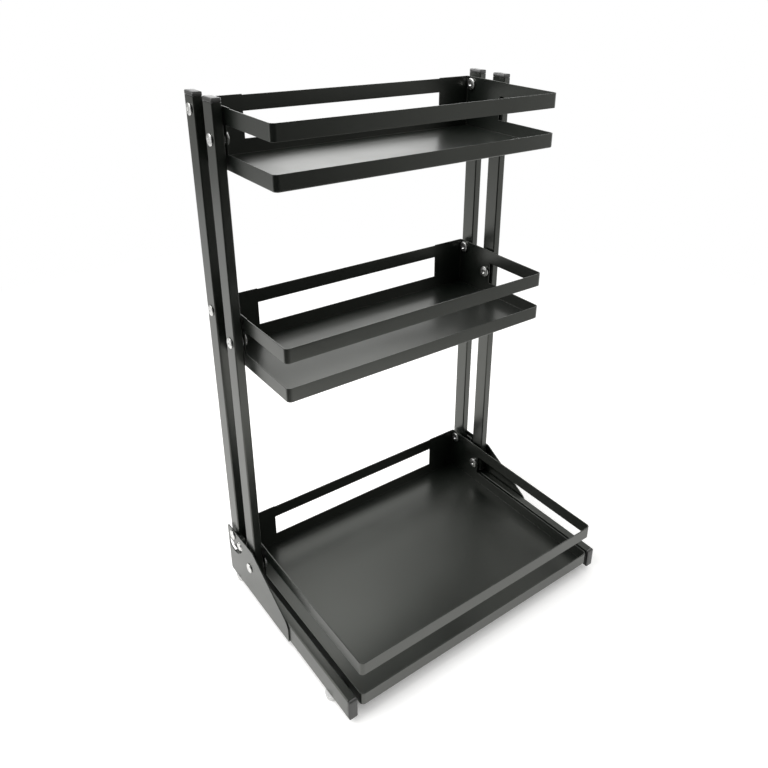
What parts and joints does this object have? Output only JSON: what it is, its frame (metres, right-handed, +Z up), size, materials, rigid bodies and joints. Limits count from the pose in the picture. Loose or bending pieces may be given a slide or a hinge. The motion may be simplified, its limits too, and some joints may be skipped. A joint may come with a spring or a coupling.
{
  "type": "folding storage organizer",
  "caption": "Free-standing rack of flat steel tube with sheet-metal trays and guard rails; its uprights fold forward and down as parallelograms while the trays stay level.",
  "frame": {"origin": "middle of the footprint, on the surface that the feet stand on", "axes": "+Z up; -Y towards the front, where the bottom tray reaches out; +X along the trays to the right"},
  "size_m": [0.3786, 0.2742, 0.5962],
  "materials": {
    "black_paint": "satin",
    "black_plastic": "matte",
    "zinc": "bright zinc plating",
    "clear_rubber": "clear"
  },
  "bodies": {
    "base": {"bottom_tray": "black_paint", "left_foot_rail": "black_paint", "left_foot_rail_front_plug": "black_plastic", "left_foot_rail_rear_plug": "black_plastic", "left_front_foot": "clear_rubber", "left_rear_foot": "clear_rubber", "left_side_bracket": "black_paint", "right_foot_rail": "black_paint", "right_foot_rail_front_plug": "black_plastic", "right_foot_rail_rear_plug": "black_plastic", "right_front_foot": "clear_rubber", "right_rear_foot": "clear_rubber", "right_side_bracket": "black_paint", "left_bottom_rear_rivet": "zinc", "left_bottom_rear_spacer": "zinc", "left_bottom_front_rivet": "zinc", "left_bottom_front_spacer": "zinc", "right_bottom_rear_rivet": "zinc", "right_bottom_rear_spacer": "zinc", "right_bottom_front_rivet": "zinc", "right_bottom_front_spacer": "zinc"},
    "rear_uprights": {"left_rear_upright": "black_paint", "left_rear_upright_top_plug": "black_plastic", "left_rear_upright_bottom_plug": "black_plastic", "left_stop_lug": "black_paint", "left_stop_stud": "zinc", "right_rear_upright": "black_paint", "right_rear_upright_top_plug": "black_plastic", "right_rear_upright_bottom_plug": "black_plastic", "right_stop_lug": "black_paint", "right_stop_stud": "zinc"},
    "front_uprights": {"left_front_upright": "black_paint", "left_front_upright_top_plug": "black_plastic", "left_front_upright_bottom_plug": "black_plastic", "right_front_upright": "black_paint", "right_front_upright_top_plug": "black_plastic", "right_front_upright_bottom_plug": "black_plastic"},
    "middle_tray": {"middle_tray": "black_paint", "left_middle_rear_rivet": "zinc", "left_middle_rear_spacer": "zinc", "left_middle_front_rivet": "zinc", "left_middle_front_spacer": "zinc", "right_middle_rear_rivet": "zinc", "right_middle_rear_spacer": "zinc", "right_middle_front_rivet": "zinc", "right_middle_front_spacer": "zinc"},
    "top_tray": {"top_tray": "black_paint", "left_top_rear_rivet": "zinc", "left_top_rear_spacer": "zinc", "left_top_front_rivet": "zinc", "left_top_front_spacer": "zinc", "right_top_rear_rivet": "zinc", "right_top_rear_spacer": "zinc", "right_top_front_rivet": "zinc", "right_top_front_spacer": "zinc"}
  },
  "joints": [
    {"name": "fold", "type": "hinge", "parent": "base", "child": "rear_uprights", "pos_m": [0, 0.12291, 0.0684], "axis": [1, 0, 0], "range_deg": [0, 90]},
    {"name": "front_fold", "type": "hinge", "parent": "base", "child": "front_uprights", "pos_m": [0, 0.08091, 0.0469], "axis": [1, 0, 0], "range_deg": [0, 90]},
    {"name": "middle_tray_level", "type": "hinge", "parent": "rear_uprights", "child": "middle_tray", "pos_m": [0, 0.12291, 0.3701], "axis": [1, 0, 0], "range_deg": [-90, 0]},
    {"name": "top_tray_level", "type": "hinge", "parent": "rear_uprights", "child": "top_tray", "pos_m": [0, 0.12291, 0.5792], "axis": [1, 0, 0], "range_deg": [-90, 0]}
  ],
  "couplings": [
    {"joint": "front_fold", "follows": "fold", "ratio": 1},
    {"joint": "middle_tray_level", "follows": "fold", "ratio": -1},
    {"joint": "top_tray_level", "follows": "fold", "ratio": -1}
  ]
}
